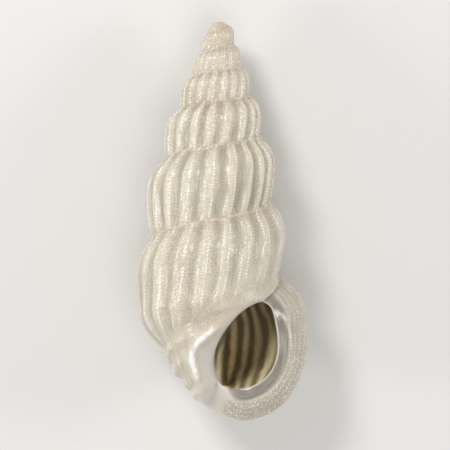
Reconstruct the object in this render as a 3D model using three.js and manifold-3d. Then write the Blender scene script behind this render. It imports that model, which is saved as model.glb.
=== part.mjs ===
// A tall ribbed micro sea snail shell, lying on its back with its mouth up.
// Lengths are millimetres. In the row frame +Z is up and the spire points along +Y.
//
// The shell is modelled in its own frame first: the coiling axis is Y with the tip of the spire at
// the top, +X is the side of the mouth and +Z looks out of the mouth. A point there is an angle
// round the axis, a radius from it and a depth below the tip. The tube grows by turns: turn 0 is
// the nucleus and turn 7 is the lip. Each cross section runs from the seam above it (across 0) to
// the seam below it (across 1), and on the last turn on over the base to the tip of the column
// (across 2), where the whole surface is one closed skin.
import * as THREE from "three";
import { ParametricGeometry } from "three/addons/geometries/ParametricGeometry.js";
import { mergeGeometries, mergeVertices } from "three/addons/utils/BufferGeometryUtils.js";
import Module from "manifold-3d";

// Driving dimensions
const TURNS = 7;
const RIBS_PER_TURN = 18;
const RIB_PHASE = 1 / 3;
const RIB_HEIGHT_SHARE = 0.085;
const NUCLEUS_SWELL_SHARE = 0.28;
const SWELL_SHARE = 0.16;
const LAST_SWELL_SHARE = 0.135;
const WALL = 0.065;
const COLUMN_TIP = { r: 0.0, d: 4.3 };
const LIP_BULGE = 0.11;
const SEAM_BULGE = 0.07;
const COLUMN_BULGE = 0.09;
const CALLUS_BULGE = 0.07;
const TUBE_DEPTH_TURNS = 0.72;

// How finely the skin is divided
const STEPS = 3 * RIBS_PER_TURN;
const SKEW_STEPS = 1;
const ACROSS = 7;
const LIP_ROWS = 3;
const INNER_ROWS = 5;
const BASE_ROWS = 2 * LIP_ROWS + INNER_ROWS;
const TUBE_RINGS = 14;
const SKEW = SKEW_STEPS / STEPS;

// How the shell lies
const REST_ROLL_DEG = -4.5;
const REST_PITCH_DEG = -5.9;
const REST_SHAVE = 0.03;

const V2 = (r, d) => new THREE.Vector2(r, d);
const V3 = (x, d, z) => new THREE.Vector3(x, -d, z);
const TAU = 2 * Math.PI;
const clamp01 = (x) => Math.min(1, Math.max(0, x));
const smooth = (x) => clamp01(x) ** 2 * (3 - 2 * clamp01(x));

// The seam between the turns, as radius and depth at every half turn from turn 1.5 to turn 8.5
const SEAM_START = 1.5;
const SEAM = new THREE.SplineCurve([
  V2(0.142, 0.155), V2(0.161, 0.233), V2(0.2, 0.356), V2(0.236, 0.467), V2(0.292, 0.622),
  V2(0.342, 0.8), V2(0.4, 0.978), V2(0.463, 1.233), V2(0.538, 1.533), V2(0.611, 1.956),
  V2(0.66, 2.411), V2(0.744, 2.778), V2(0.744, 3.333), V2(0.8, 3.79), V2(0.85, 4.1),
]);

// How far a turn swells out of the straight line between its two seams, along and out
const SWELL = new THREE.SplineCurve([
  V2(0, 0), V2(0.1, 0.3), V2(0.24, 0.8), V2(0.4, 1), V2(0.58, 0.86), V2(0.78, 0.52), V2(0.92, 0.2), V2(1, 0),
]);

// The base at the left of the mouth, as shares of the seam's radius and of the depth left below it
const BASE_LEFT = new THREE.SplineCurve([
  V2(1, 0), V2(0.91, 0.14), V2(0.8, 0.24), V2(0.625, 0.37), V2(0.575, 0.49),
  V2(0.48, 0.62), V2(0.28, 0.77), V2(0.12, 0.91), V2(0, 1),
]);

// The outer edge of the lip, from the seam round to the tip of the column
const LIP_EDGE = new THREE.SplineCurve([
  V2(0.744, 2.778), V2(0.85, 2.88), V2(0.965, 2.98), V2(1.04, 3.09), V2(1.075, 3.28), V2(1.09, 3.5), V2(1.075, 3.76),
  V2(0.985, 4.02), V2(0.85, 4.22), V2(0.65, 4.35), V2(0.42, 4.41), V2(0.2, 4.36), V2(COLUMN_TIP.r, COLUMN_TIP.d),
]);

// The edge of the mouth in space: the outer part from its upper corner round to the column, and
// the inner part up the column and over the turn before
const MOUTH_OUTER = new THREE.CatmullRomCurve3([
  V3(0.574, 3.11, 0.5), V3(0.715, 3.29, 0.42), V3(0.76, 3.49, 0.36), V3(0.755, 3.68, 0.33), V3(0.714, 3.83, 0.3),
  V3(0.603, 3.98, 0.27), V3(0.387, 4.067, 0.24), V3(0.231, 4.067, 0.26), V3(0.152, 4.03, 0.285), V3(0.111, 3.978, 0.31),
]);
const MOUTH_INNER = new THREE.CatmullRomCurve3([
  V3(0.574, 3.11, 0.5), V3(0.433, 3.144, 0.62), V3(0.356, 3.2, 0.65), V3(0.241, 3.333, 0.66), V3(0.174, 3.433, 0.62),
  V3(0.096, 3.544, 0.56), V3(0.053, 3.678, 0.47), V3(0.039, 3.8, 0.41), V3(0.061, 3.911, 0.35), V3(0.111, 3.978, 0.31),
]);

// The wall of the turn before, hidden in the tube, as shares of the seam's radius
const HIDDEN_WALL = new THREE.SplineCurve([
  V2(1, 0), V2(0.96, 0.19), V2(0.89, 0.36), V2(0.79, 0.55), V2(0.68, 0.7), V2(0.55, 0.84), V2(0.44, 1.02), V2(0.32, 1.21), V2(0.26, 1.43),
]);

// A point of a curve by its share of the number of control points, run on past the ends
const along = (curve, x) => curve.getPoint(clamp01(x), new (curve.points[0].constructor)());

// The rib wave at a turn: 1 on a crest and 0 between ribs
function ribWave(turn) {
  return (0.5 + 0.5 * Math.cos(TAU * (RIBS_PER_TURN * turn + RIB_PHASE))) ** 1.2;
}

function ribHeight(turn) {
  return RIB_HEIGHT_SHARE * seamSmooth(turn).x * smooth((turn - 2) / 0.8);
}

// The seam as a smooth line: a point at the tip up to turn 1, then a rounded start
function seamSmooth(turn) {
  const x = clamp01((turn - 1 - SKEW) / (SEAM_START - 1 - SKEW));
  if (x < 1) return V2(0.142 * Math.sqrt(x * (2 - x)), 0.01 + 0.145 * x);
  return along(SEAM, (turn - SEAM_START) / (0.5 * (SEAM.points.length - 1)));
}

// The seam with the ribs' waves in it: pushed out by the ribs above and lifted by those below
function seam(turn) {
  const p = seamSmooth(turn);
  const fade = 1 - smooth((turn - 6.93) / 0.07);
  p.x += 0.5 * fade * ribHeight(turn - 1) * (ribWave(turn - 1 - SKEW) - 0.5);
  p.y -= 0.3 * fade * ribHeight(turn) * ribWave(turn);
  return p;
}

const lipShare = (turn) => smooth((turn - 6.72) / 0.28) ** 1.6;

// How strongly a turn swells, as a share of its height
function swellShare(turn) {
  const grown = THREE.MathUtils.lerp(SWELL_SHARE, LAST_SWELL_SHARE, smooth((turn - 5.8) / 0.6));
  return THREE.MathUtils.lerp(NUCLEUS_SWELL_SHARE, grown, smooth((turn - 0.9) / 0.9));
}

// Radius and depth of the plain skin at a turn, without ribs or lip, across 0 to 2
function plainSection(turn, across) {
  const top = seam(turn);
  const foot = seam(turn + 1 + SKEW);
  if (across > 1) {
    const s = along(BASE_LEFT, across - 1);
    return V2(foot.x * s.x, foot.y + (COLUMN_TIP.d - foot.y) * s.y);
  }
  const s = along(SWELL, across);
  const chord = foot.clone().sub(top);
  const share = swellShare(turn);
  const out = V2(chord.y, -chord.x).multiplyScalar(share * s.y);
  return top.addScaledVector(chord, s.x).add(out);
}

// The same skin flared out to the edge of the lip
function section(turn, across) {
  const flare = LIP_EDGE.getPointAt(clamp01(across / 2)).sub(plainSection(TURNS, across));
  return plainSection(turn, across).addScaledVector(flare, lipShare(turn));
}

// The ribs' push out of the smooth skin at a turn
function ribPush(turn, across) {
  const onTurn = smooth(across / 0.16);
  const atSeam = 1 - smooth((across - 0.84) / 0.16);
  const pastSeam = smooth((turn - (TURNS - 1)) / 0.35);
  const onBase = across <= 1 ? Math.max(atSeam, pastSeam) : pastSeam * (1 - smooth((across - 1.1) / 0.7));
  const nearLip = 1 - 0.8 * smooth((turn - 6.9) / 0.08);
  return ribHeight(turn) * (ribWave(turn) - 0.55) * onTurn * onBase * nearLip;
}

// Places a radius and depth at an angle round the axis
function place(angle, p) {
  return V3(p.x * Math.cos(angle), p.y, p.x * Math.sin(angle));
}

function pushedSection(turn, across, ribShare = 1) {
  const p = section(turn, across);
  const h = 0.01;
  const low = across < 1.5 ? across : across - h;
  const slope = section(turn, low + h).sub(section(turn, low)).normalize();
  return p.addScaledVector(V2(slope.y, -slope.x), ribShare * ribPush(turn, across));
}

// The outside of the turns, from the nucleus to the lip
function turnsPoint(turn, across) {
  return place(TAU * (turn - TURNS + SKEW * across), pushedSection(turn, across));
}

// The line where the lip lies on the turn before, share 0 at the outer edge and 1 at the mouth
function seamUnderLip(share) {
  const a = place(0, seam(TURNS));
  const p = a.lerp(MOUTH_OUTER.points[0], share);
  const angle = TAU * 0.053;
  return p.add(V3(Math.cos(angle), 0, Math.sin(angle)).multiplyScalar(SEAM_BULGE * 4 * share * (1 - share)));
}

// The line down the column from the mouth to the tip of the column, share 0 at the tip
function columnEdge(share) {
  const tip = place(0, V2(COLUMN_TIP.r, COLUMN_TIP.d));
  const p = tip.lerp(MOUTH_OUTER.points.at(-1), share);
  return p.add(V3(0, 0, COLUMN_BULGE * 4 * share * (1 - share)));
}

// The edge of the base at the mouth, in rows
function baseEdge(row) {
  if (row <= LIP_ROWS) return seamUnderLip(row / LIP_ROWS);
  if (row <= LIP_ROWS + INNER_ROWS) return MOUTH_INNER.getPointAt((row - LIP_ROWS) / INNER_ROWS);
  return columnEdge((BASE_ROWS - row) / LIP_ROWS);
}

// The base of the last turn, round from the mouth to the lip
function basePoint(step, row) {
  const turn = TURNS - 1 - SKEW + step / STEPS;
  const across = 1 + row / BASE_ROWS;
  const away = clamp01((turn - (TURNS - 1 - SKEW)) / 0.5);
  const callusFade = smooth(row / 3) * (1 - smooth((away - 0.35) / 0.45));
  const regular = pushedSection(turn, across, 1 - callusFade);
  const angle = TAU * (turn - TURNS + 1 + SKEW * across);
  const edge = baseEdge(row);
  const edgeRadius = Math.hypot(edge.x, edge.z);
  const edgeAngle = edgeRadius > 1e-6 ? Math.atan2(edge.z, edge.x) : TAU / 4;
  if (away >= 1) return place(angle, regular);
  const shift = V2(edgeRadius, -edge.y).sub(pushedSection(TURNS - 1 - SKEW, across));
  const p = regular.addScaledVector(shift, 1 - smooth(away));
  const callus = Math.sin(Math.PI * (row / BASE_ROWS) ** 2) * Math.sin(Math.PI * clamp01(away / 0.45)) ** 0.8;
  p.x += CALLUS_BULGE * callus;
  const half = TAU / 2 + TAU * SKEW * (across - 1);
  return place(THREE.MathUtils.lerp(edgeAngle, half, away), p);
}

// The face of the lip, from its outer edge (share 0) to the edge of the mouth (share 1)
function lipPoint(share, across) {
  const x = across / 2;
  if (x <= 0) return seamUnderLip(share);
  if (x >= 1) return columnEdge(share);
  const outer = acrossIsBase(across) ? basePoint(STEPS + SKEW_STEPS, (across - 1) * BASE_ROWS) : turnsPoint(TURNS, across);
  const p = outer.lerp(MOUTH_OUTER.getPointAt(x), share);
  p.z += LIP_BULGE * Math.sin(Math.PI * share) * Math.sin(Math.PI * x) ** 0.6;
  return p;
}
const acrossIsBase = (across) => across > 1;

// The inside of the tube: rings from the mouth backwards, each down its outer wall and up its inner one
function tubePoint(share, ringShare) {
  const outerCount = ACROSS + BASE_ROWS;
  const ringCount = outerCount + INNER_ROWS;
  const k = Math.round(ringShare * ringCount) % ringCount;
  const turn = TURNS - TUBE_DEPTH_TURNS * share;
  const angle = TAU * (turn - TURNS);
  let mouth;
  let deep;
  if (k <= outerCount) {
    const across = k <= ACROSS ? k / ACROSS : 1 + (k - ACROSS) / BASE_ROWS;
    const kept = 0.14 + (across / 2) * 1.5;
    mouth = MOUTH_OUTER.getPointAt(across / 2);
    deep = inset(turn, kept);
  } else {
    const up = (k - outerCount) / INNER_ROWS;
    mouth = MOUTH_INNER.getPointAt(1 - up);
    const s = along(HIDDEN_WALL, 0.95 - 0.85 * up);
    const top = seamSmooth(turn);
    deep = V2(top.x * s.x, top.y + top.x * s.y);
  }
  const closing = share > 0.9 ? 1 - ((share - 0.9) / 0.1) : 1;
  const centre = V2(0.55 * seamSmooth(turn).x, seamSmooth(turn).y + 0.75);
  deep.lerp(centre, 1 - closing);
  const back = place(angle, deep);
  return mouth.lerp(back, smooth(share / 0.22));
}

function inset(turn, across) {
  const p = section(Math.min(turn, 6.85), across);
  const h = 0.01;
  const slope = section(Math.min(turn, 6.85), across + h).sub(section(Math.min(turn, 6.85), across - h)).normalize();
  return p.addScaledVector(V2(-slope.y, slope.x), WALL);
}

// A patch of skin over a grid of steps by rows
function patch(steps, rows, point) {
  return new ParametricGeometry(
    (u, v, target) => target.copy(point(Math.round(u * steps), Math.round(v * rows))), steps, rows);
}

function skin() {
  const patches = [
    patch(TURNS * STEPS, ACROSS, (i, j) => turnsPoint(i / STEPS, j / ACROSS)),
    patch(STEPS + SKEW_STEPS, BASE_ROWS, basePoint),
    patch(LIP_ROWS, ACROSS + BASE_ROWS, (i, j) =>
      lipPoint(i / LIP_ROWS, j <= ACROSS ? j / ACROSS : 1 + (j - ACROSS) / BASE_ROWS)),
    patch(TUBE_RINGS, ACROSS + BASE_ROWS + INNER_ROWS, (i, j) =>
      tubePoint(i / TUBE_RINGS, j / (ACROSS + BASE_ROWS + INNER_ROWS))),
  ];
  for (const g of patches) {
    g.deleteAttribute("normal");
    g.deleteAttribute("uv");
  }
  return mergeVertices(mergeGeometries(patches), 2e-4);
}

// Drops the triangles that came to nothing where a patch closes on a point
function withoutSlivers(geometry) {
  const index = geometry.index.array;
  const kept = [];
  for (let i = 0; i < index.length; i += 3) {
    const [a, b, c] = index.slice(i, i + 3);
    if (a !== b && b !== c && c !== a) kept.push(a, b, c);
  }
  geometry.setIndex(kept);
  return geometry;
}

const wasm = await Module();
wasm.setup();

function solidOf(geometry) {
  return new wasm.Manifold(new wasm.Mesh({
    numProp: 3,
    vertProperties: new Float32Array(geometry.attributes.position.array),
    triVerts: new Uint32Array(geometry.index.array),
  }));
}

function geometryOf(solid) {
  const mesh = solid.getMesh();
  return new THREE.BufferGeometry()
    .setAttribute("position", new THREE.BufferAttribute(mesh.vertProperties, 3))
    .setIndex(new THREE.BufferAttribute(mesh.triVerts, 1));
}

const geometry = withoutSlivers(skin());
const turned = new THREE.Matrix4()
  .makeRotationX(THREE.MathUtils.degToRad(REST_PITCH_DEG))
  .multiply(new THREE.Matrix4().makeRotationY(THREE.MathUtils.degToRad(REST_ROLL_DEG)));
geometry.applyMatrix4(turned);
geometry.computeBoundingBox();
const box = geometry.boundingBox;
geometry.translate(-(box.min.x + box.max.x) / 2, -(box.min.y + box.max.y) / 2, -box.min.z - REST_SHAVE);
const floor = new THREE.BoxGeometry(6, 6, 1).translate(0, 0, -0.5);
floor.deleteAttribute("normal");
floor.deleteAttribute("uv");
const lying = solidOf(geometry).subtract(solidOf(mergeVertices(floor)));

const shell = new THREE.Mesh(
  geometryOf(lying),
  new THREE.MeshStandardMaterial({ color: 0xd9d3c2, roughness: 0.4, metalness: 0 }),
);
shell.name = "shell";
const group = new THREE.Group();
group.add(shell);
export default group;
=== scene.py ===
"""A tall ribbed micro sea snail shell, lying on its back under a soft studio light.

The shell is built in its own frame in millimetres: the coiling axis is Y with the tip of the spire
at the top, +X is the side of the mouth and +Z looks out of the mouth. A point there is an angle
round the axis, a radius from it and a depth below the tip. The tube grows by turns, from the
nucleus at turn 0 to the lip at turn 7. Across a turn, 0 is the seam above it and 1 the seam below,
and on the last turn 2 is the tip of the column. At the end the whole skin is laid down on its back
and brought to metres in the frame of the CAD model.
"""

import logging
import math
from dataclasses import dataclass, field
from enum import Enum

import bmesh
import bpy
import numpy as np
from mathutils import Matrix, Vector


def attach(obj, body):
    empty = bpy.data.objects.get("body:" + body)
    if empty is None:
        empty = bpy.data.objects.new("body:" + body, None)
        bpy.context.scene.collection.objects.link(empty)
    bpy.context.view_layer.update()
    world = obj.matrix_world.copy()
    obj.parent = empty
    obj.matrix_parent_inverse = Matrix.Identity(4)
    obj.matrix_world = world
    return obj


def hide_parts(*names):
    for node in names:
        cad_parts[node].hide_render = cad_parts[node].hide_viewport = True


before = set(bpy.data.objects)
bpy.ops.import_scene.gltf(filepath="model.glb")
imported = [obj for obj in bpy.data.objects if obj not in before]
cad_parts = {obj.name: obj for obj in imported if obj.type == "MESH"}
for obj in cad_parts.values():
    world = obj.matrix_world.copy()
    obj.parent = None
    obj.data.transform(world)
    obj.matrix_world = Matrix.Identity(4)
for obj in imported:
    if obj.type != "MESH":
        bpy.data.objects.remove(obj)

LOG = logging.getLogger("shell")
TAU = 2 * math.pi
MM = 0.001

Array = np.ndarray
Points = tuple[tuple[float, ...], ...]
Colour = tuple[float, float, float, float]
Socket = bpy.types.NodeSocket

# Rows of the skin before it is refined: across the side, over the base, where the mouth begins
# and ends on the base, round the lip and round the tube.
SIDE_ROWS, BASE_ROWS = 7, 11
SEAM_ROW, COLUMN_ROW = 3, 8
LIP_ROWS = SIDE_ROWS + BASE_ROWS
RING_ROWS = LIP_ROWS + COLUMN_ROW - SEAM_ROW
# How far the growth map runs on over the lip in turns, a distance that is longer than the shell,
# and the width of the camera's sensor.
LIP_GROWTH = 0.36
BEYOND_MM = 9.0
SENSOR_MM = 36.0


def ease(x: Array) -> Array:
    """Rises smoothly from 0 to 1 as x does, and holds the ends."""
    x = np.clip(x, 0.0, 1.0)
    return x * x * (3 - 2 * x)


def mix(a: Array, b: Array, share: Array) -> Array:
    """Blends points from a at share 0 to b at share 1, with one share for each point."""
    return a + (b - a) * np.asarray(share)[..., None]


def bell(x: Array) -> Array:
    """1 where x is 0, and next to nothing where it is more than 2 off."""
    return np.exp(-(x**2))


def reach(spots: Array, line: Array, extra: Array | float = 0.0) -> Array:
    """How far spots are from a line.

    Args:
        spots: Points in the shell's frame.
        line: Points along the line.
        extra: What each point of the line adds to its distance.

    Returns:
        The distance of each spot from the nearest point of the line.
    """
    off = np.full(len(spots), BEYOND_MM)
    for point, more in zip(line, np.broadcast_to(extra, len(line))):
        off = np.minimum(off, np.linalg.norm(spots - point, axis=1) + more)
    return off


def put(name: str, data: bpy.types.ID) -> bpy.types.Object:
    """Puts a new object into the scene.

    Args:
        name: Name of the object.
        data: Its mesh, lamp or camera.

    Returns:
        The object.
    """
    thing = bpy.data.objects.new(name, data)
    bpy.context.scene.collection.objects.link(thing)
    return thing


@dataclass(frozen=True)
class Line:
    """A smooth line through its points, evenly timed between them.

    Attributes:
        points: The points it passes through.
    """

    points: Points

    def at(self, share: Array) -> Array:
        """Points of the line at shares of its number of spans.

        Args:
            share: Shares from 0 to 1.

        Returns:
            One point for each share.
        """
        p = np.array(self.points, float)
        spans = len(p) - 1
        x = np.clip(share, 0.0, 1.0) * spans
        k = np.clip(np.floor(x).astype(int), 0, spans - 1)
        t = (x - k)[..., None]
        a, b = p[np.maximum(k - 1, 0)], p[k]
        c, d = p[k + 1], p[np.minimum(k + 2, spans)]
        v, w = (c - a) / 2, (d - b) / 2
        return (2 * b - 2 * c + v + w) * t**3 + (3 * c - 3 * b - 2 * v - w) * t**2 + v * t + b

    def by_length(self, share: Array) -> Array:
        """Points of the line at shares of its length.

        Args:
            share: Shares from 0 to 1.

        Returns:
            One point for each share.
        """
        times = np.linspace(0, 1, 601)
        run = np.linalg.norm(np.diff(self.at(times), axis=0), axis=1)
        length = np.concatenate([[0.0], np.cumsum(run)])
        return self.at(np.interp(np.clip(share, 0, 1) * length[-1], length, times))


@dataclass(frozen=True)
class Coil:
    """The growth of the shell's tube round its axis, in millimetres.

    Attributes:
        turns: Number of turns from the nucleus to the lip.
        ribs: Ribs on each turn.
        rib_phase: Where the ribs stand, in ribs.
        rib_height: Height of a rib, as a share of the seam's radius.
        skew: How far a rib leans on, in turns, from the seam above to the one below.
        nucleus_swell: Swell of the first turn, as a share of its height.
        swell: Swell of the turns of the spire.
        last_swell: Swell of the last turn.
        thread: Height of the thread along the seam.
        fill: How far the last turn is filled out above the mouth.
        knob: Height of the knobs at the foot of the column.
        knobs: Where the cords that carry the knobs lie across the last turn.
        knob_width: How wide such a cord is across the turn.
        tip_depth: Depth of the tip of the column.
        seam_line: Radius and depth of the seam at every half turn from turn 1.5.
        swell_line: How a turn swells between its seams, along and out.
        base_line: The base at the left, as shares of the seam's radius and of the depth left.
        lip_line: Radius and depth of the outer edge of the lip.
    """

    turns: int = 7
    ribs: int = 18
    rib_phase: float = 1 / 3
    rib_height: float = 0.078
    skew: float = 1 / 54
    nucleus_swell: float = 0.28
    swell: float = 0.16
    last_swell: float = 0.135
    thread: float = 0.012
    fill: float = 0.06
    knob: float = 0.044
    knobs: tuple[float, ...] = (1.46, 1.6, 1.72, 1.83)
    knob_width: float = 0.036
    tip_depth: float = 4.3
    seam_line: Line = Line(
        ((0.142, 0.155), (0.161, 0.233), (0.2, 0.356), (0.236, 0.467), (0.292, 0.622))
        + ((0.342, 0.8), (0.4, 0.978), (0.463, 1.233), (0.538, 1.533), (0.611, 1.956))
        + ((0.66, 2.411), (0.744, 2.778), (0.744, 3.333), (0.8, 3.79), (0.85, 4.1))
    )
    swell_line: Line = Line(
        ((0, 0), (0.1, 0.3), (0.24, 0.8), (0.4, 1), (0.58, 0.86), (0.78, 0.52), (0.92, 0.2), (1, 0))
    )
    base_line: Line = Line(
        ((1, 0), (0.91, 0.14), (0.79, 0.24), (0.605, 0.37), (0.54, 0.49))
        + ((0.435, 0.62), (0.25, 0.77), (0.11, 0.91), (0, 1))
    )
    lip_line: Line = Line(
        ((0.744, 2.778), (0.85, 2.88), (0.965, 2.98), (1.04, 3.09), (1.075, 3.28), (1.09, 3.5))
        + ((1.075, 3.76), (0.985, 4.02), (0.85, 4.22), (0.65, 4.35), (0.42, 4.41), (0.2, 4.36))
        + ((0.0, 4.3),)
    )

    def rib_wave(self, turn: Array) -> Array:
        """1 on the crest of a rib and 0 half way between two."""
        wave = 0.5 + 0.5 * np.cos(TAU * (self.ribs * self.waver(turn) + self.rib_phase))
        return np.maximum(wave, 0) ** 1.1

    def waver(self, turn: Array) -> Array:
        """The turn at which the ribs are read, so that they stand a little unevenly."""
        uneven = 0.010 * np.sin(11 * turn) + 0.006 * np.sin(23 * turn + 2)
        return turn + uneven * (1 - ease((turn - 6.6) / 0.3))

    def rib_reach(self, turn: Array) -> Array:
        """Height of the ribs at a turn: none on the smooth first turns.

        Args:
            turn: Turns along the growth.

        Returns:
            The height in millimetres.
        """
        uneven = 1 + 0.18 * np.sin(5.3 * turn) * np.sin(17.0 * turn + 1)
        low = 1 - 0.22 * ease((turn - 4) / 0.7) - 0.28 * ease((turn - 5.4) / 0.7)
        young = ease((turn - 2) / 0.8) * (0.5 + 0.5 * ease((turn - 2.6) / 2))
        return self.rib_height * self.seam_smooth(turn)[..., 0] * young * low * uneven

    def seam_smooth(self, turn: Array) -> Array:
        """The seam above a turn without the ribs' waves.

        Args:
            turn: Turns along the growth.

        Returns:
            Radius and depth at each turn.
        """
        x = np.clip((turn - 1 - self.skew) / (0.5 - self.skew), 0, 1)
        start = np.stack([0.142 * np.sqrt(x * (2 - x)), 0.01 + 0.145 * x], -1)
        spans = 0.5 * (len(self.seam_line.points) - 1)
        grown = self.seam_line.at((turn - 1.5) / spans)
        return np.where((x < 1)[..., None], start, grown)

    def seam(self, turn: Array) -> Array:
        """The seam above a turn, pushed out by the ribs above and lifted by those below.

        Args:
            turn: Turns along the growth.

        Returns:
            Radius and depth at each turn.
        """
        p = self.seam_smooth(turn)
        fade = 1 - ease((turn - 6.93) / 0.07)
        above = self.rib_wave(turn - 1 - self.skew) - 0.5
        p[..., 0] += 0.5 * fade * self.rib_reach(turn - 1) * above
        p[..., 1] -= 0.3 * fade * self.rib_reach(turn) * self.rib_wave(turn)
        return p

    def plain_section(self, turn: Array, across: Array) -> Array:
        """The skin without ribs or lip.

        Args:
            turn: Turns along the growth.
            across: Place across the turn, from 0 to 2.

        Returns:
            Radius and depth of each point.
        """
        top, foot = self.seam(turn), self.seam(turn + 1 + self.skew)
        s = self.swell_line.at(across)
        chord = foot - top
        grown = self.swell + (self.last_swell - self.swell) * ease((turn - 5.8) / 0.6)
        share = self.nucleus_swell + (grown - self.nucleus_swell) * ease((turn - 0.9) / 0.9)
        out = np.stack([chord[..., 1], -chord[..., 0]], -1) * (share * s[..., 1])[..., None]
        side = mix(top, foot, s[..., 0]) + out
        b = self.base_line.at(across - 1)
        left = self.tip_depth - foot[..., 1]
        base = np.stack([foot[..., 0] * b[..., 0], foot[..., 1] + left * b[..., 1]], -1)
        return np.where((across > 1)[..., None], base, side)

    def section(self, turn: Array, across: Array) -> Array:
        """The skin without ribs, flared out to the edge of the lip.

        Args:
            turn: Turns along the growth.
            across: Place across the turn, from 0 to 2.

        Returns:
            Radius and depth of each point.
        """
        last = np.full_like(turn, float(self.turns))
        flare = self.lip_line.by_length(across / 2) - self.plain_section(last, across)
        share = ease((turn - 6.72) / 0.28) ** 1.6
        full = self.fill_push(turn, across)
        out = np.stack([full, np.zeros_like(full)], -1)
        return self.plain_section(turn, across) + flare * share[..., None] + out

    def rib_push(self, turn: Array, across: Array) -> Array:
        """How far the ribs push the skin out.

        Args:
            turn: Turns along the growth.
            across: Place across the turn, from 0 to 2.

        Returns:
            The push in millimetres.
        """
        on_turn = ease(across / 0.16)
        at_seam = 1 - ease((across - 0.84) / 0.16)
        past_seam = ease((turn - (self.turns - 1) - 0.02) / 0.12)
        on_side = np.maximum(at_seam, past_seam)
        on_base = past_seam * self.rib_fade(across)
        near_lip = 1 - 0.8 * ease((turn - 6.9) / 0.08)
        reach = self.rib_reach(turn) * (self.rib_wave(turn) - 0.55)
        return reach * on_turn * np.where(across <= 1, on_side, on_base) * near_lip

    def fill_push(self, turn: Array, across: Array) -> Array:
        """How far the last turn is filled out above the mouth, where no later turn hides it.

        Args:
            turn: Turns along the growth.
            across: Place across the turn, from 0 to 2.

        Returns:
            The push in millimetres.
        """
        span = np.clip((turn - self.turns + 0.98) / 0.56, 0, 1)
        width = np.where(across < 1, 0.24, 0.45)
        spread = bell((across - 1) / width) * ease((2 - across) / 0.4)
        return self.fill * np.sin(math.pi * span) ** 2 * spread

    def rib_fade(self, across: Array) -> Array:
        """1 on the side of a turn, falling to 0 as the ribs die out on the base."""
        return 1 - ease((across - 1.04) / 0.5)

    def thread_push(self, turn: Array, across: Array) -> Array:
        """How far the thin thread along the seam stands out, in millimetres."""
        grown = self.thread * np.clip(turn / self.turns, 0, 1) * (1 - ease((turn - 6.85) / 0.1))
        return grown * bell((across - 0.045) / 0.025) * ease(turn - 1.5)

    def arc(self, turn: Array, across: Array) -> Array:
        """Length of the skin from the seam above to a place across the turn.

        Args:
            turn: Turns along the growth.
            across: Place across the turn, from 0 to 2.

        Returns:
            The length in millimetres.
        """
        steps, rows = 20 * self.turns, 80
        turns, places = np.linspace(0, self.turns, steps + 1), np.linspace(0, 2, rows + 1)
        grid = self.section(*np.meshgrid(turns, places, indexing="ij"))
        run = np.linalg.norm(np.diff(grid, axis=1), axis=-1)
        length = np.concatenate([np.zeros((steps + 1, 1)), np.cumsum(run, axis=1)], axis=1)
        x, y = np.clip(turn / self.turns, 0, 1) * steps, np.clip(across / 2, 0, 1) * rows
        i, j = np.minimum(x.astype(int), steps - 1), np.minimum(y.astype(int), rows - 1)
        x, y = x - i, y - j
        low = length[i, j] * (1 - y) + length[i, j + 1] * y
        high = length[i + 1, j] * (1 - y) + length[i + 1, j + 1] * y
        return low * (1 - x) + high * x

    def knob_push(self, turn: Array, across: Array) -> Array:
        """How far the knobs at the foot of the column stand out.

        Args:
            turn: Turns along the growth.
            across: Place across the turn, from 0 to 2.

        Returns:
            The push in millimetres.
        """
        cords = sum(bell((across - at) / self.knob_width) for at in self.knobs)
        beads = 0.55 + 0.45 * np.cos(TAU * (self.ribs * turn + 3 * across))
        side = ease((turn - 6.2) / 0.16) * (1 - ease((turn - 6.66) / 0.12))
        return self.knob * cords * beads * side

    def push(self, turn: Array, across: Array, calm: Array) -> Array:
        """How far the relief stands out: ribs less their calmed share, thread and knobs."""
        ribs = (1 - calm) * self.rib_push(turn, across)
        return ribs + self.thread_push(turn, across) + self.knob_push(turn, across)


def place(angle: Array, section: Array) -> Array:
    """Turns section points, each a radius and a depth, round the axis by angles in radians."""
    radius, depth = section[..., 0], section[..., 1]
    return np.stack([radius * np.cos(angle), -depth, radius * np.sin(angle)], -1)


def flip(points: Points) -> Line:
    """A line in the shell's frame from points given as side, depth and height."""
    return Line(tuple((x, -depth, z) for x, depth, z in points))


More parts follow.
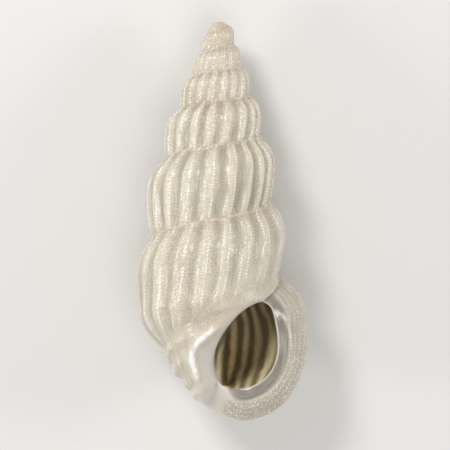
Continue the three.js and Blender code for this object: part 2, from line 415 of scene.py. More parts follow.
@dataclass(frozen=True)
class Mouth:
    """The mouth of the shell and the tube behind it, in millimetres.

    Attributes:
        coil: The growth that the mouth ends.
        outer: Edge of the mouth round its free side, from the upper corner to the column.
        inner: Edge of the mouth over the turn before, from the upper corner to the column.
        hidden_wall: Wall of the turn before, inside the tube, as shares of the seam's radius.
        wall: Thickness of the wall.
        lip_bulge: How far the face of the lip is rounded out.
        rim_height: Height of the thin rim round the free side of the mouth.
        seam_bulge: Bulge of the lip where it lies on the turn before.
        column_bulge: Bulge of the column below the mouth.
        callus_bulge: Bulge of the smooth callus beside the mouth.
        valley: How far the hollow above the callus is filled.
        ridge: Height of the ridge on the callus beside the column.
        ridge_line: Side and depth of that ridge, from the upper end down.
        ridge_width: How wide it is.
        glaze_near: How far from the mouth the shell is wholly glazed.
        glaze_far: How far from the mouth the glaze ends.
        glaze_slack: How much nearer to the mouth both are at its upper corner.
        tube_turns: How far back the tube is hollow, in turns.
        side_calm: Share of the ribs' height that is lost where the side meets the base.
    """

    coil: Coil
    outer: Line = flip(
        ((0.564, 3.074, 0.5), (0.66, 3.13, 0.46), (0.714, 3.27, 0.42), (0.75, 3.45, 0.37))
        + ((0.758, 3.6, 0.34), (0.735, 3.74, 0.32), (0.68, 3.86, 0.3), (0.583, 3.96, 0.28))
        + ((0.44, 4.035, 0.25), (0.27, 4.05, 0.25), (0.16, 4.02, 0.27), (0.1, 3.96, 0.3))
    )
    inner: Line = flip(
        ((0.564, 3.074, 0.5), (0.487, 3.095, 0.56), (0.372, 3.17, 0.63), (0.278, 3.26, 0.65))
        + ((0.185, 3.38, 0.65), (0.112, 3.5, 0.6), (0.067, 3.61, 0.54), (0.044, 3.72, 0.47))
        + ((0.044, 3.82, 0.41), (0.062, 3.9, 0.355), (0.1, 3.96, 0.3))
    )
    hidden_wall: Line = Line(
        ((1, 0), (0.96, 0.19), (0.89, 0.36), (0.79, 0.55), (0.68, 0.7), (0.55, 0.84))
        + ((0.44, 1.02), (0.32, 1.21), (0.26, 1.43))
    )
    wall: float = 0.065
    lip_bulge: float = 0.11
    rim_height: float = 0.009
    seam_bulge: float = 0.07
    column_bulge: float = 0.09
    callus_bulge: float = 0.07
    valley: float = 0.038
    ridge: float = 0.05
    ridge_line: Line = Line(
        ((0.24, 3.292), (0.051, 3.404), (-0.101, 3.527), (-0.169, 3.642))
        + ((-0.165, 3.77), (-0.125, 3.9), (-0.085, 4.01), (-0.06, 4.12))
    )
    ridge_width: float = 0.045
    glaze_near: float = 0.10
    glaze_far: float = 0.26
    glaze_slack: float = 0.17
    tube_turns: float = 0.72
    side_calm: float = 0.75

    def seam_under_lip(self, share: Array) -> Array:
        """The line where the lip lies on the turn before.

        Args:
            share: 0 at the outer edge of the lip and 1 at the mouth.

        Returns:
            Points in the shell's frame.
        """
        share = np.asarray(share, float)
        start = place(np.zeros_like(share), self.coil.seam(np.full_like(share, self.coil.turns)))
        end = np.broadcast_to(np.array(self.outer.points[0]), start.shape)
        angle = TAU * 0.053
        out = np.array([math.cos(angle), 0.0, math.sin(angle)])
        return mix(start, end, share) + out * (self.seam_bulge * 4 * share * (1 - share))[..., None]

    def column_edge(self, share: Array) -> Array:
        """The line down the column.

        Args:
            share: 0 at the tip of the column and 1 at the mouth.

        Returns:
            Points in the shell's frame.
        """
        share = np.asarray(share, float)
        tip = np.array([0.0, -self.coil.tip_depth, 0.0])
        start = np.broadcast_to(tip, share.shape + (3,))
        end = np.broadcast_to(np.array(self.outer.points[-1]), start.shape)
        rise = np.array([0.0, 0.0, self.column_bulge])
        return mix(start, end, share) + rise * (4 * share * (1 - share))[..., None]

    def base_edge(self, row: Array) -> Array:
        """The edge of the base at the mouth.

        Args:
            row: 0 at the seam, then along the mouth, and 1 at the tip of the column.

        Returns:
            Points in the shell's frame.
        """
        past = row * BASE_ROWS
        lip = self.seam_under_lip(np.clip(past / SEAM_ROW, 0, 1))
        mouth = self.inner.by_length((past - SEAM_ROW) / (COLUMN_ROW - SEAM_ROW))
        column = self.column_edge(np.clip((BASE_ROWS - past) / (BASE_ROWS - COLUMN_ROW), 0, 1))
        edge = np.where((past <= SEAM_ROW + 1e-8)[..., None], lip, mouth)
        return np.where((past >= COLUMN_ROW - 1e-8)[..., None], column, edge)

    def glaze(self, spots: Array) -> Array:
        """How smooth and glazed the shell is: 1 beside the mouth and the column, 0 further off.

        Args:
            spots: Points in the shell's frame.

        Returns:
            The glaze at each point.
        """
        share = np.linspace(0, 1, 60)
        edge = reach(spots, self.inner.by_length(share), self.glaze_slack * (1 - share))
        off = np.minimum(edge, reach(spots, self.column_edge(np.linspace(0.15, 1, 24))))
        wander = 0.03 * np.sin(9 * spots[:, 1]) * np.cos(11 * spots[:, 0])
        near = 1 - ease((off + wander - self.glaze_near) / (self.glaze_far - self.glaze_near))
        return np.maximum(near, self.ridge_share(spots))

    def side_points(self, turn: Array, across: Array) -> Array:
        """The outside of the turns, as points in the shell's frame."""
        coil = self.coil
        return place(TAU * (turn - coil.turns + coil.skew * across), coil.section(turn, across))

    def ridge_share(self, spots: Array) -> Array:
        """1 on the ridge that bounds the callus beside the mouth, and 0 off it.

        Args:
            spots: Points in the shell's frame.

        Returns:
            The share at each point.
        """
        share = np.linspace(0, 1, 80)
        line = self.ridge_line.by_length(share)
        height = ease(share / 0.3) * ease((1.02 - share) / 0.3)
        off = [np.hypot(spots[:, 0] - x, spots[:, 1] + d) for x, d in line]
        crest = [h * bell(o / self.ridge_width) for h, o in zip(height, off)]
        return np.max(crest, axis=0) * (spots[:, 2] > 0)

    def base_calm(self, away: Array, row: Array) -> Array:
        """The share of the ribs' height that is lost on the base: most beside the mouth."""
        near = 1 - ease((away - 0.26 - 0.06 * row) / 0.46)
        return near * (self.side_calm + (1 - self.side_calm) * ease(row * BASE_ROWS / 2))

    def calm_above(self, turn: Array, across: Array) -> Array:
        """How much the ribs are calmed on the side of the last turn, just above its base.

        Args:
            turn: Turns along the growth.
            across: Place across the turn, from 0 to 1.

        Returns:
            The share of the ribs' height that is lost.
        """
        start = self.coil.turns - 1 - self.coil.skew
        near = 1 - ease(((turn - start) / 0.5 - 0.26) / 0.46)
        return self.side_calm * near * ease((across - 0.4) / 0.6) * ease((turn - start + 0.1) / 0.1)

    def base_angle(self, row: Array, away: Array) -> Array:
        """Where the base lies round the axis between the mouth and half a turn behind it.

        Args:
            row: 0 at the seam and 1 at the tip of the column.
            away: 0 at the mouth and 1 half a turn behind it.

        Returns:
            The angle at each point.
        """
        edge = self.base_edge(row)
        radius = np.hypot(edge[..., 0], edge[..., 2])
        angle = np.where(radius > 1e-6, np.arctan2(edge[..., 2], edge[..., 0]), TAU / 4)
        half = TAU / 2 + TAU * self.coil.skew * row
        return angle + (half - angle) * away

    def base_points(self, turn: Array, row: Array) -> Array:
        """The base of the last turn, round from the mouth to the lip.

        Args:
            turn: Turns along the growth.
            row: 0 at the seam and 1 at the tip of the column.

        Returns:
            Points in the shell's frame.
        """
        coil = self.coil
        start = coil.turns - 1 - coil.skew
        away = np.clip((turn - start) / 0.5, 0, 1)
        bent = self.base_angle(row, away)
        regular = coil.section(turn, 1 + row)
        first = coil.section(np.full_like(turn, start), 1 + row)
        edge = self.base_edge(row)
        shift = np.stack([np.hypot(edge[..., 0], edge[..., 2]), -edge[..., 1]], -1) - first
        p = regular + shift * (1 - ease(away))[..., None]
        callus = np.sin(math.pi * row**1.6) * np.sin(math.pi * np.clip(away / 0.45, 0, 1)) ** 0.8
        valley = bell((row - 0.36) / 0.1) * ease((away - 0.25) / 0.2)
        valley *= 1 - ease((away - 0.65) / 0.3)
        p[..., 0] += self.callus_bulge * callus + self.valley * valley
        whole = TAU * (turn - coil.turns + 1 + coil.skew * (1 + row))
        spots = place(np.where(away >= 1, whole, bent), p)
        ridge = self.ridge_share(spots) * np.clip(away * 12, 0, 1)
        spots[:, 2] += self.ridge * ridge * ease(row / 0.15) * ease((1 - row) / 0.12)
        return spots

    def lip_points(self, share: Array, across: Array) -> Array:
        """The face of the lip.

        Args:
            share: 0 at the outer edge and 1 at the mouth.
            across: Place across the last turn, from 0 to 2.

        Returns:
            Points in the shell's frame.
        """
        last = np.full_like(share, float(self.coil.turns))
        side = self.side_points(last, across)
        base = self.base_points(last, np.clip(across - 1, 0, 1))
        outer = np.where((across > 1)[..., None], base, side)
        p = mix(outer, self.outer.by_length(across / 2), share)
        arch = np.sin(math.pi * np.clip(across / 2, 0, 1)) ** 0.6
        p[..., 2] += self.lip_bulge * np.sin(math.pi * share) * arch
        p[..., 2] += self.rim_height * bell((share - 0.955) / 0.03) * arch * (share < 1)
        p = np.where((across <= 0)[..., None], self.seam_under_lip(share), p)
        return np.where((across >= 2)[..., None], self.column_edge(share), p)

    def tube_points(self, share: Array, ring: Array) -> Array:
        """The inside of the tube.

        Args:
            share: 0 at the mouth and 1 at the closed end.
            ring: Row round the tube: down its free wall, then up over the turn before.

        Returns:
            Points in the shell's frame.
        """
        coil = self.coil
        turn = coil.turns - self.tube_turns * share
        across = np.where(ring <= SIDE_ROWS, ring / SIDE_ROWS, 1 + (ring - SIDE_ROWS) / BASE_ROWS)
        up = (ring - LIP_ROWS) / (RING_ROWS - LIP_ROWS)
        free = ring <= LIP_ROWS
        mouth = np.where(
            free[..., None],
            self.outer.by_length(across / 2),
            self.inner.by_length(np.clip(1 - up, 0, 1)),
        )
        kept = 0.14 + 0.75 * across
        held = np.minimum(turn, 6.85)
        slope = coil.section(held, kept + 0.01) - coil.section(held, kept - 0.01)
        slope /= np.linalg.norm(slope, axis=-1, keepdims=True)
        inset = coil.section(held, kept) + np.stack([-slope[..., 1], slope[..., 0]], -1) * self.wall
        h = self.hidden_wall.at(np.clip(0.95 - 0.85 * up, 0, 1))
        top = coil.seam_smooth(turn)
        hidden = np.stack([top[..., 0] * h[..., 0], top[..., 1] + top[..., 0] * h[..., 1]], -1)
        deep = np.where(free[..., None], inset, hidden)
        centre = np.stack([0.55 * top[..., 0], top[..., 1] + 0.75], -1)
        deep = mix(deep, centre, np.clip((share - 0.9) / 0.1, 0, 1))
        back = place(TAU * (turn - coil.turns), deep)
        return mix(mouth, back, ease(share / 0.22))


@dataclass
class Shell:
    """The whole shell as one closed skin.

    Attributes:
        mouth: The mouth, the lip and the coil behind them.
        fineness: Rows of the skin for each row of the solid.
        steps: Steps of the skin along each turn.
        tube_steps: Steps of the skin along the tube.
        hold_mm: How near to the edge of the mouth the skin beside the column keeps its place.
        roll_deg: Roll of the lying shell about its axis.
        pitch_deg: Tilt of the axis of the lying shell.
        shift_mm: Shift of the lying shell to its place on the floor.
    """

    mouth: Mouth = field(default_factory=lambda: Mouth(Coil()))
    fineness: int = 6
    steps: int = 216
    tube_steps: int = 66
    hold_mm: float = 0.06
    roll_deg: float = -4.5
    pitch_deg: float = -5.9
    shift_mm: tuple[float, float, float] = (-0.1233, 2.1833, 0.5395)

    def lying(self) -> Matrix:
        """The matrix from the shell's frame in millimetres to the lying shell in metres."""
        tilt = Matrix.Rotation(math.radians(self.pitch_deg), 4, "X")
        roll = Matrix.Rotation(math.radians(self.roll_deg), 4, "Y")
        return Matrix.Scale(MM, 4) @ Matrix.Translation(self.shift_mm) @ tilt @ roll

    def patch(self, part: "Patch", cells: tuple[int, int]) -> bpy.types.Mesh:
        """One patch of the skin, as a grid bent to its place.

        Args:
            part: Which patch it is.
            cells: Cells along the growth and across it.

        Returns:
            The mesh of the patch, with its UV maps.
        """
        bm = bmesh.new()
        bmesh.ops.create_grid(bm, x_segments=cells[0], y_segments=cells[1], size=1)
        flat = np.array([v.co[:2] for v in bm.verts])
        u = np.round((flat[:, 0] + 1) / 2 * cells[0]) / cells[0]
        v = np.round((flat[:, 1] + 1) / 2 * cells[1]) / cells[1]
        spots, push, *maps = self.bend(part, u, v)
        relief = bm.verts.layers.float.new("push")
        for vert, spot, out in zip(bm.verts, spots, push):
            vert.co = spot
            vert[relief] = out
        for name, values in zip(("growth", "place", "relief"), maps):
            layer = bm.loops.layers.uv.new(name)
            for face in bm.faces:
                for loop in face.loops:
                    loop[layer].uv = values[loop.vert.index]
        mesh = bpy.data.meshes.new(part.value)
        bm.to_mesh(mesh)
        bm.free()
        return mesh

    def bend(self, part: "Patch", u: Array, v: Array) -> tuple[Array, Array, Array, Array, Array]:
        """Bends the points of a grid to a patch of the skin.

        Args:
            part: Which patch it is.
            u: Shares along the patch.
            v: Shares across it.

        Returns:
            The points and how far their relief stands out, then their turn and length across, their
            depth in the tube and glaze, and their share of the ribs and of the ridge, or the painted
            shade in the tube and the place round it.
        """
        mouth, coil = self.mouth, self.mouth.coil
        none = np.zeros_like(u)
        if part is Patch.TUBE:
            ring = np.where(v >= 1, 0, v * RING_ROWS)
            corner = 0.9 * bell((ring - LIP_ROWS) / 2.2)
            # A mask for the painted shade just inside the inner edge of the mouth.
            shade = ease((ring - LIP_ROWS - 0.6) / 1.2) * (1 - ease((u - 0.2) / 0.12))
            growth = self.pair(coil.turns - mouth.tube_turns * u, none)
            depth = self.pair(u * (1 - corner), none + 1)
            spots = mouth.tube_points(u, ring)
            return spots, none, growth, depth, self.pair(shade, v * RING_ROWS)
        if part is Patch.LIP:
            turn, row = np.full_like(u, coil.turns), v * LIP_ROWS
            across = np.where(row <= SIDE_ROWS, row / SIDE_ROWS, 1 + (row - SIDE_ROWS) / BASE_ROWS)
            spots = mouth.lip_points(u, across)
            gloss = np.maximum(ease((u - 0.58) / 0.08), mouth.glaze(spots))
            clear = 1 - 0.7 * ease((across - 1.58) / 0.38)
            growth = self.pair(turn + u * LIP_GROWTH * clear, coil.arc(turn, across))
            push = coil.push(turn, across, none) * (1 - ease(u / 0.2))
            return spots, push, growth, self.pair(none, gloss), self.pair(none + 0.4, none)
        if part is Patch.SIDE:
            turn, across = u * coil.turns, v
            calm = mouth.calm_above(turn, across)
            spots, ribs, rib_turn = mouth.side_points(turn, across), 1 - calm, turn
            ridge = none
        else:
            turn, across = coil.turns - 1 - coil.skew + u * (1 + coil.skew), 1 + v
            away = np.clip(u * (1 + coil.skew) / 0.5, 0, 1)
            calm = mouth.base_calm(away, v)
            bent = coil.turns - 1 + mouth.base_angle(v, away) / TAU - coil.skew * across
            ribs, rib_turn = coil.rib_fade(across) * (1 - calm), np.where(away >= 1, turn, bent)
            spots = mouth.base_points(turn, v)
            ridge = mouth.ridge_share(spots)
        growth = self.pair(coil.waver(rib_turn), coil.arc(turn, across))
        push = coil.push(rib_turn, across, calm)
        return spots, push, growth, self.pair(none, mouth.glaze(spots)), self.pair(ribs, ridge)

    @staticmethod
    def pair(a: Array, b: Array) -> Array:
        """Two lists of numbers side by side."""
        return np.stack([a, b], -1)

    def build(self) -> bpy.types.Object:
        """Grows the skin, closes it and lays it on its back.

        Returns:
            The finished piece.
        """
        fine, coil = self.fineness, self.mouth.coil
        bm = bmesh.new()
        for part, cells in (
            (Patch.SIDE, (self.steps * coil.turns, SIDE_ROWS * fine)),
            (Patch.BASE, (round(self.steps * (1 + coil.skew)), BASE_ROWS * fine)),
            (Patch.LIP, (3 * fine, LIP_ROWS * fine)),
            (Patch.TUBE, (self.tube_steps, RING_ROWS * fine)),
        ):
            mesh = self.patch(part, cells)
            bm.from_mesh(mesh)
            bpy.data.meshes.remove(mesh)
            LOG.info("patch %s: %d x %d cells", part.value, *cells)
        bmesh.ops.remove_doubles(bm, verts=bm.verts, dist=5e-5)
        bmesh.ops.dissolve_degenerate(bm, edges=bm.edges, dist=1e-5)
        if bm.calc_volume(signed=True) < 0:
            bmesh.ops.reverse_faces(bm, faces=bm.faces)
        self.soften(bm)
        bmesh.ops.transform(bm, matrix=self.lying(), verts=bm.verts)
        for vert in bm.verts:
            vert.co.z = max(vert.co.z, 0.0)
        for face in bm.faces:
            face.smooth = True
        open_edges = sum(1 for e in bm.edges if not e.is_manifold)
        LOG.info("skin: %d faces, %d open edges", len(bm.faces), open_edges)
        mesh = bpy.data.meshes.new("grown_shell")
        bm.to_mesh(mesh)
        bm.free()
        return put("grown_shell", mesh)

    def soften(self, bm: bmesh.types.BMesh) -> None:
        """Rounds the tube, the inner edge of the mouth and the last seam, then raises the relief.

        Args:
            bm: The closed skin in the shell's frame.
        """
        edge = self.mouth.inner.by_length(np.linspace(0.04, 0.92, 40))
        column = self.mouth.column_edge(np.linspace(0, 0.8, 20))
        seam = np.linspace(6.04, 6.46, 60)
        seam = self.mouth.side_points(seam, np.ones_like(seam))
        deep, rim = self.zones(bm)
        self.relax(bm, deep, 90)
        bm.verts.ensure_lookup_table()
        spots = np.array([v.co[:] for v in bm.verts])
        ring = np.concatenate([edge, self.mouth.outer.by_length(np.linspace(0, 1, 80))])
        far = np.flatnonzero(reach(spots, ring) > self.hold_mm)
        free = np.array([k for k in range(len(spots)) if k not in rim])
        for line, widths, times, some in (
            (np.concatenate([edge, column]), (0.09, 0.06, 0.04), 8, free),
            (seam, (0.34, 0.30, 0.24, 0.18, 0.12), 8, free),
            (column[:-2], (0.16, 0.12, 0.08), 24, far),
        ):
            near = reach(spots[some], line)
            for width in widths:
                self.relax(bm, [bm.verts[k] for k in some[near < width]], times)
        bm.normal_update()
        relief = bm.verts.layers.float["push"]
        moved = [(v, v.normal * v[relief]) for v in bm.verts]
        for vert, step in moved:
            vert.co += step

    @staticmethod
    def zones(bm: bmesh.types.BMesh) -> tuple[list[bmesh.types.BMVert], set[int]]:
        """Finds the vertices of the tube, and those of the lip and the free side of the mouth.

        Args:
            bm: The closed skin.

        Returns:
            The vertices inside the tube, and the numbers of those that keep their place.
        """
        growth, place_uv, relief = (bm.loops.layers.uv[n] for n in ("growth", "place", "relief"))
        bm.verts.index_update()
        deep, rim = {}, set()
        for face in bm.faces:
            turns = [loop[growth].uv.x for loop in face.loops]
            depths = [loop[place_uv].uv.x for loop in face.loops]
            if max(depths) > 0:
                for loop, depth in zip(face.loops, depths):
                    if depth > 0.03:
                        deep[loop.vert.index] = loop.vert
                if min(loop[relief].uv.y for loop in face.loops) < LIP_ROWS - 0.1:
                    rim.update(loop.vert.index for loop in face.loops)
            elif max(turns) > 6.9:
                rim.update(loop.vert.index for loop in face.loops)
        return [deep[k] for k in sorted(deep)], rim

    @staticmethod
    def relax(bm: bmesh.types.BMesh, verts: list[bmesh.types.BMVert], times: int) -> None:
        """Smooths some of the skin's vertices.

        Args:
            bm: The skin.
            verts: The vertices that may move.
            times: How often they are smoothed.
        """
        axes = {"use_axis_x": True, "use_axis_y": True, "use_axis_z": True}
        for _ in range(times):
            bmesh.ops.smooth_vert(bm, verts=verts, factor=0.5, **axes)


class Patch(Enum):
    """The patches that the skin is sewn from."""

    SIDE = "side"
    BASE = "base"
    LIP = "lip"
    TUBE = "tube"


class Graph:
    """A short way to lay shader nodes of one material.

    Args:
        name: Name of the material.
    """

    def __init__(self, name: str) -> None:
        """Makes the material with an empty node tree."""
        self.material = bpy.data.materials.new(name)
        self.material.use_nodes = True
        self.tree = self.material.node_tree
        self.tree.nodes.clear()

    def add(self, kind: str, inputs: dict | None = None, **settings: object) -> bpy.types.Node:
        """Adds a node.

        Args:
            kind: Blender's name of the node type.
            inputs: Values or sockets for its inputs, by name or number.
            settings: Properties of the node.

        Returns:
            The node.
        """
        node = self.tree.nodes.new(kind)
        for key, value in settings.items():
            setattr(node, key, value)
        for key, value in (inputs or {}).items():
            if isinstance(value, Socket):
                self.tree.links.new(value, node.inputs[key])
            else:
                node.inputs[key].default_value = value
        return node

    def math(self, operation: str, *values: object) -> Socket:
        """Adds a Math node and gives its result."""
        inputs = dict(enumerate(values))
        return self.add("ShaderNodeMath", inputs, operation=operation).outputs[0]

    def times(self, a: object, b: object) -> Socket:
        """Multiplies two values."""
        return self.math("MULTIPLY", a, b)

    def scaled(self, value: object, scale: object, start: object) -> Socket:
        """Gives start plus the value times scale."""
        return self.math("MULTIPLY_ADD", value, scale, start)

    def rest(self, value: object) -> Socket:
        """Gives 1 less the value."""
        return self.math("SUBTRACT", 1.0, value)

    def wave(self, kind: str, angle: object) -> Socket:
        """Gives a sine or cosine between 0 and 1."""
        return self.scaled(self.math(kind, angle), 0.5, 0.5)

    def ramp(self, value: object, low: float, high: float) -> Socket:
        """Gives 0 below low and 1 above high, smoothly between them."""
        inputs = {"Value": value, "From Min": low, "From Max": high}
        node = self.add("ShaderNodeMapRange", inputs, interpolation_type="SMOOTHSTEP")
        return node.outputs["Result"]

    def blend(self, share: object, a: object, b: object) -> Socket:
        """Gives the colour a at share 0 and b at share 1."""
        inputs = {"Factor": share, "A": a, "B": b}
        node = self.tree.nodes.new("ShaderNodeMix")
        node.data_type = "RGBA"
        for key, value in inputs.items():
            socket = next(s for s in node.inputs if s.name == key and s.enabled)
            if isinstance(value, Socket):
                self.tree.links.new(value, socket)
            else:
                socket.default_value = value
        return next(s for s in node.outputs if s.enabled)

    def layers(self, base: object, rows: tuple) -> Socket:
        """Lays colours over each other.

        Args:
            base: The colour below.
            rows: Where each next colour shows, how strongly, and the colour.

        Returns:
            The colour on top.
        """
        for share, strength, colour in rows:
            base = self.blend(self.times(share, strength), base, colour)
        return base

    def noise(self, vector: object, scale: float, detail: float = 2.0) -> Socket:
        """Adds a noise texture and gives its value."""
        inputs = {"Vector": vector, "Scale": scale, "Detail": detail}
        return self.add("ShaderNodeTexNoise", inputs).outputs["Fac"]

    def fibre(self, x: object, y: object, detail: float = 2.0) -> Socket:
        """Gives noise that is stretched along two values."""
        return self.noise(self.add("ShaderNodeCombineXYZ", {"X": x, "Y": y}).outputs[0], 1.0, detail)

    def parts(self, name: str) -> tuple[Socket, Socket]:
        """Gives the two values of a UV map."""
        spot = self.add("ShaderNodeUVMap", uv_map=name).outputs[0]
        return self.add("ShaderNodeSeparateXYZ", {0: spot}).outputs[:2]

    def finish(self, inputs: dict) -> bpy.types.Material:
        """Ends in a Principled shader with these inputs, and gives the material."""
        shader = self.add("ShaderNodeBsdfPrincipled", inputs)
        self.add("ShaderNodeOutputMaterial", {"Surface": shader.outputs[0]})
        return self.material


@dataclass(frozen=True)
class ShellGlaze:
    """The finish of the shell: milky ribs with clearer gaps, fine spiral threads, a glazed lip; painted
    glints and painted shade in the tube.

    Attributes:
        rib: Colour of the milky ribs.
        gap: Colour of the clearer shell between them.
        stain_and_seam_shade: Colour of the warmer stains, and of the painted shade just below each
            seam.
        seam: Colour of the fine line along the seam.
        lip: Colour of the clear bevel round the mouth.
        callus: Colour of the glazed callus.
        pale_and_glint: Colour of the pale rim and streaks, and of the painted glints on the ribs and
            the ridge.
        painted_tube_shade: Painted shade of the dark bands in the hollow of the tube.
        painted_tube_light: Painted light of the bands inside the tube, where the ribs shine through its
            wall.
        shade: Painted shade just inside the inner edge of the mouth.
        mote: Colour of the few dark motes.
        thread_mm: Distance between the spiral threads.
        bead_mm: Distance between the painted glints that bead the lines along the ribs.
        bands_per_mm: Light bands inside the tube for each millimetre across the mouth.
        bands_depth: Depth at which those bands are widest, in millimetres.
        cloud_scale: Scale of the broad cloudy noise, for each metre.
        patch_scale: Scale of the patchy noise.
        grain_scale: Scale of the fine grain.
        mote_scale: Scale of the cells that may hold a mote.
        bevel_turns: Where the clear bevel begins and is full, on the growth map.
        rim_turns: Where the pale rim begins and is full.
    """

    rib: Colour = (0.675, 0.61, 0.49, 1)
    gap: Colour = (0.40, 0.36, 0.27, 1)
    stain_and_seam_shade: Colour = (0.44, 0.33, 0.21, 1)
    seam: Colour = (0.74, 0.66, 0.48, 1)
    lip: Colour = (0.22, 0.197, 0.168, 1)
    callus: Colour = (0.65, 0.615, 0.56, 1)
    pale_and_glint: Colour = (1.0, 0.985, 0.95, 1)
    painted_tube_shade: Colour = (0.27, 0.215, 0.11, 1)
    painted_tube_light: Colour = (0.88, 0.75, 0.47, 1)
    shade: Colour = (0.05, 0.04, 0.025, 1)
    mote: Colour = (0.10, 0.08, 0.05, 1)
    thread_mm: float = 0.021
    bead_mm: float = 0.036
    bands_per_mm: float = 7.2
    bands_depth: float = 3.55
    cloud_scale: float = 1300.0
    patch_scale: float = 3800.0
    grain_scale: float = 62000.0
    mote_scale: float = 2710.0
    bevel_turns: tuple[float, float] = (7.16, 7.25)
    rim_turns: tuple[float, float] = (7.338, 7.350)

    @staticmethod
    def along(g: Graph, spot: object, row: Vector) -> Socket:
        """One coordinate of a spot in the shell's own frame, in millimetres.

        Args:
            g: The graph that it is added to.
            spot: The spot on the lying shell, in metres.
            row: The row of the matrix from the lying shell to the shell's frame.

        Returns:
            The coordinate.
        """
        inputs = {0: spot, 1: tuple(row[:3])}
        dot = g.add("ShaderNodeVectorMath", inputs, operation="DOT_PRODUCT")
        return g.math("ADD", dot.outputs["Value"], row[3])

    @staticmethod
    def line(g: Graph, phase: object, lag: float, sharp: float) -> Socket:
        """A line along each rib, the given angle of the ribs' wave off its crest; 1 on the line."""
        wave = g.math("MAXIMUM", g.math("COSINE", g.math("ADD", phase, lag)), 0.0)
        return g.math("POWER", wave, sharp)

    def build(self, shell: Shell) -> bpy.types.Material:
        """Lays the nodes.

        Args:
            shell: The shell whose ribs and mouth the colours follow.

        Returns:
            The material.
        """
        coil = shell.mouth.coil
        g = Graph("shell_glaze")
        turn, arc = g.parts("growth")
        depth, gloss = g.parts("place")
        ribs, ridge = g.parts("relief")
        solid = g.add("ShaderNodeTexCoord").outputs["Object"]
        plain = g.rest(gloss)
        cloud = g.noise(solid, self.cloud_scale, 3.0)
        patchy = g.noise(solid, self.patch_scale)
        grain = g.noise(solid, self.grain_scale, 1.0)
        streak = g.fibre(g.times(turn, 55.0), g.times(arc, 2.2), 3.0)
        hair = g.fibre(g.times(turn, 260.0), g.times(arc, 3.0))

        # The wave of the ribs, where they stand outside the glaze, and the spiral threads.
        phase = g.scaled(turn, TAU * coil.ribs, TAU * coil.rib_phase)
        phase = g.math("ADD", phase, g.scaled(patchy, 1.6, -0.8))
        young = g.rest(g.ramp(turn, 1.6, 2.6))
        on_ribs = g.math("MAXIMUM", g.times(g.math("SUBTRACT", ribs, young), plain), 0.0)
        crest = g.times(g.wave("COSINE", phase), on_ribs)
        wobble = g.times(g.noise(solid, 5200.0), 2.4)
        thread = g.wave("SINE", g.scaled(arc, TAU / self.thread_mm, wobble))

        # How milky the shell is, and the fine line along the seam.
        milk = g.scaled(cloud, 0.5, g.scaled(crest, 0.42, g.times(streak, 0.80)))
        flat = g.rest(g.math("MINIMUM", ribs, g.ramp(turn, 1.6, 4.6)))
        milk = g.scaled(flat, 0.35, milk)
        edge = g.times(g.rest(g.ramp(arc, 0.004, 0.035)), g.ramp(g.noise(solid, 9000.0), 0.30, 0.60))
        edge = g.times(edge, g.rest(g.ramp(turn, 6.85, 6.98)))

        # Painted glints: bright beads in lines along the ribs, and bright specks of painted glint
        # between the threads.
        glint = g.math("MAXIMUM", self.line(g, phase, 0.7, 24.0), self.line(g, phase, -1.3, 40.0))
        broken = g.ramp(g.noise(solid, 7000.0, 1.0), 0.38, 0.55)
        loose = g.times(g.noise(solid, 11000.0), 12.0)
        coarse = g.math("SINE", g.scaled(arc, TAU / self.bead_mm, loose))
        glint_beads = g.times(g.ramp(coarse, -0.7, 0.4), g.ramp(grain, 0.38, 0.55))
        shown = g.math("MINIMUM", g.times(on_ribs, 2.5), 1.0)
        glint = g.times(g.times(glint, broken), g.times(g.scaled(glint_beads, 0.8, 0.2), shown))
        on_lip = g.ramp(turn, 7.0, 7.03)
        rich = g.scaled(crest, 0.40, g.scaled(on_lip, 0.5, g.scaled(young, 0.9, 0.36)))
        glint_specks = g.times(g.times(g.ramp(grain, 0.56, 0.65), rich), g.scaled(thread, -0.4, 1.0))
        glint_specks = g.times(glint_specks, g.times(plain, g.ramp(cloud, 0.30, 0.55)))
        sparkle = g.math("MAXIMUM", glint, glint_specks)

        # The glazed callus and bevel, a painted highlight on the ridge, and cells for the few motes.
        glazed = g.blend(g.ramp(turn, *self.bevel_turns), self.callus, self.lip)
        glazed = g.blend(g.times(g.ramp(streak, 0.35, 0.65), 0.15), glazed, self.rib)
        shine = g.times(g.ramp(ridge, 0.5, 0.95), g.scaled(broken, 0.7, 0.15))
        cells = g.add("ShaderNodeTexVoronoi", {"Vector": solid, "Scale": self.mote_scale})
        chance = g.add("ShaderNodeSeparateColor", {0: cells.outputs["Color"]}).outputs[0]
        motes = g.math("LESS_THAN", cells.outputs["Distance"], 0.032)

        # The colours of the outside from below up: where each shows, how strongly, and which.
        base = g.blend(g.ramp(milk, 0.42, 1.05), self.gap, self.rib)
        rows = (
            (g.ramp(cloud, 0.55, 0.72), 0.4, self.stain_and_seam_shade),
            (g.ramp(hair, 0.52, 0.75), 0.30, self.pale_and_glint),
            (g.times(thread, plain), 0.4, self.gap),
            (g.rest(g.ramp(turn, 0.5, 4.5)), 0.22, self.stain_and_seam_shade),
            # Painted shade just below each seam, in the warm stain colour.
            (g.times(g.rest(g.ramp(arc, 0.03, 0.16)), plain), 0.4, self.stain_and_seam_shade),
            (edge, 0.75, self.seam),
            # Painted glints on the ribs and between the threads.
            (sparkle, 1.0, self.pale_and_glint),
            (g.times(on_lip, g.rest(sparkle)), 0.3, self.lip),
            (gloss, 0.9, glazed),
            # Painted highlight along the ridge of the callus.
            (shine, g.math("LESS_THAN", depth, 0.001), self.pale_and_glint),
            (g.ramp(turn, *self.rim_turns), 0.4, self.pale_and_glint),
            (g.times(motes, g.math("GREATER_THAN", chance, 0.86)), 0.8, self.mote),
        )

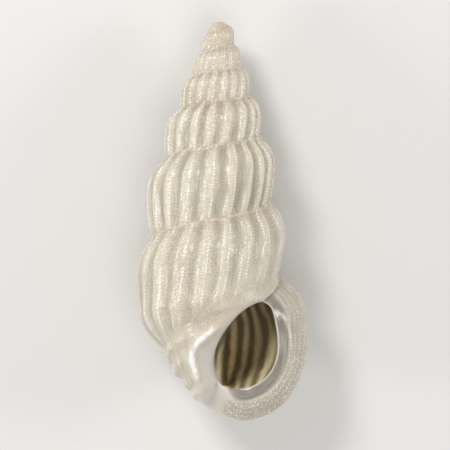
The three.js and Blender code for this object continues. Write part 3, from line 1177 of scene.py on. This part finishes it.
        # Painted light and shade inside the tube: painted shade in its hollow, with painted light bands
        # where the ribs shine through its wall, laid out in the shell's own frame. Inside the tube the
        # ribs' map holds the painted shade below the inner edge.
        to_shell = shell.lying().inverted()
        side, up = (self.along(g, solid, to_shell[k]) for k in (0, 1))
        off = g.math("POWER", g.math("ADD", up, self.bands_depth), 2.0)
        side = g.times(side, g.scaled(off, 1.2, 1.0))
        bands = g.wave("SINE", g.scaled(side, TAU * self.bands_per_mm, g.times(patchy, 2.6)))
        bands = g.scaled(patchy, 0.5, g.scaled(bands, 0.7, -0.28))
        bands = g.scaled(g.math("SUBTRACT", grain, 0.5), 0.5, bands)
        tube = g.blend(g.ramp(bands, 0.0, 0.85), self.painted_tube_shade, self.painted_tube_light)
        tube = g.blend(g.times(ribs, 0.85), tube, self.shade)
        inside = g.ramp(depth, 0.002, 0.012)

        # Bump of the threads and the grain, and the clear shell that scatters light below.
        rough = g.scaled(inside, 0.25, g.scaled(gloss, -0.20, 0.42))
        inputs = {"Height": g.times(thread, plain), "Distance": 3.5e-6, "Strength": 0.6}
        fine = g.add("ShaderNodeBump", inputs).outputs[0]
        lumps = g.times(g.scaled(hair, 0.5, grain), g.scaled(plain, 0.9, 0.1))
        inputs = {"Height": lumps, "Distance": 1.2e-5, "Strength": 0.7, "Normal": fine}
        inputs = {"Normal": g.add("ShaderNodeBump", inputs).outputs[0], "IOR": 1.55}
        inputs |= {"Subsurface Weight": 0.8, "Subsurface Radius": (1.0, 0.9, 0.7)}
        inputs |= {"Subsurface Scale": 1.5e-4, "Coat Weight": 0.35, "Coat Roughness": 0.18}
        inputs |= {"Base Color": g.blend(inside, g.layers(base, rows), tube), "Roughness": rough}
        return g.finish(inputs)


@dataclass(frozen=True)
class Studio:
    """The pale floor, the soft lights and the camera.

    Attributes:
        shell: The shell that the camera looks at.
        aim_mm: The point in the shell's frame at the middle of the picture.
        lean_deg: How far the axis leans in the picture.
        lens_mm: Focal length on a 36 mm sensor.
        view_width_mm: Width of the view at the axis.
        lights: Name, place and width in metres, and power in watts of each soft square light.
        paper: Colour of the floor.
        floor_radius: Radius of the floor in metres.
        room: Colour of the light from all round.
        room_strength: How strong that light is.
    """

    shell: Shell
    aim_mm: tuple[float, float, float] = (0.1327, -2.2508, 0.0)
    lean_deg: float = 2.04
    lens_mm: float = 250.0
    view_width_mm: float = 5.0
    lights: tuple[tuple, ...] = (
        ("key", (-0.018, 0.022, 0.030), 0.010, 0.0081),
        ("side", (0.030, 0.004, 0.014), 0.010, 0.0030),
        ("left", (-0.030, -0.006, 0.014), 0.008, 0.0027),
        ("top", (0.004, -0.010, 0.045), 0.030, 0.0050),
    )
    paper: Colour = (0.72, 0.71, 0.69, 1)
    floor_radius: float = 0.25
    room: Colour = (1, 0.99, 0.97, 1)
    room_strength: float = 0.42

    def floor(self) -> None:
        """Makes the floor, a wide pale disc."""
        bm = bmesh.new()
        bmesh.ops.create_circle(bm, cap_ends=True, segments=64, radius=self.floor_radius)
        mesh = bpy.data.meshes.new("floor")
        bm.to_mesh(mesh)
        bm.free()
        mesh.materials.append(Graph("floor_paper").finish({"Base Color": self.paper, "Roughness": 0.8}))
        put("floor", mesh)

    def light(self, name: str, spot: Vector, size: float, power: float) -> None:
        """Adds a soft square light that looks at the shell.

        Args:
            name: Name of the light.
            spot: Where it is, in metres.
            size: Its width in metres.
            power: Its power in watts.
        """
        data = bpy.data.lights.new(name, "AREA")
        data.size, data.energy = size, power
        lamp = put(name, data)
        lamp.location = spot
        lamp.rotation_euler = (-spot).to_track_quat("-Z", "Y").to_euler()

    def camera(self) -> None:
        """The camera, looking straight into the mouth's side of the shell."""
        lying = self.shell.lying()
        aim = lying @ Vector(self.aim_mm)
        turn = lying.to_3x3().normalized()
        lean = math.radians(self.lean_deg)
        up = turn @ Vector((-math.sin(lean), math.cos(lean), 0))
        back = turn @ Vector((0, 0, 1))
        right = up.cross(back)
        data = bpy.data.cameras.new("camera")
        data.sensor_width, data.lens = SENSOR_MM, self.lens_mm
        distance = self.view_width_mm * MM * self.lens_mm / SENSOR_MM
        data.clip_start, data.clip_end = distance * 0.02, 5.0
        camera = put("camera", data)
        axes = Matrix((right, up, back)).transposed().to_4x4()
        camera.matrix_world = Matrix.Translation(aim + back * distance) @ axes
        bpy.context.scene.camera = camera

    def build(self) -> None:
        """Sets up everything round the shell."""
        self.floor()
        for name, spot, size, power in self.lights:
            self.light(name, Vector(spot), size, power)
        world = bpy.data.worlds.new("soft_room")
        world.use_nodes = True
        sky = world.node_tree.nodes["Background"].inputs
        sky["Color"].default_value, sky["Strength"].default_value = self.room, self.room_strength
        bpy.context.scene.world = world
        bpy.context.scene.view_settings.view_transform = "Standard"
        self.camera()


def main() -> None:
    """Builds the shell and the studio, and reports each piece."""
    logging.basicConfig(level=logging.INFO, format="%(name)s: %(message)s")
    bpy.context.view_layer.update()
    shell = Shell()
    piece = shell.build()
    piece.data.materials.append(ShellGlaze().build(shell))
    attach(piece, "root")
    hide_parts("shell")
    LOG.info("piece %s: %d faces", piece.name, len(piece.data.polygons))
    Studio(shell).build()


if __name__ == "__main__":
    main()
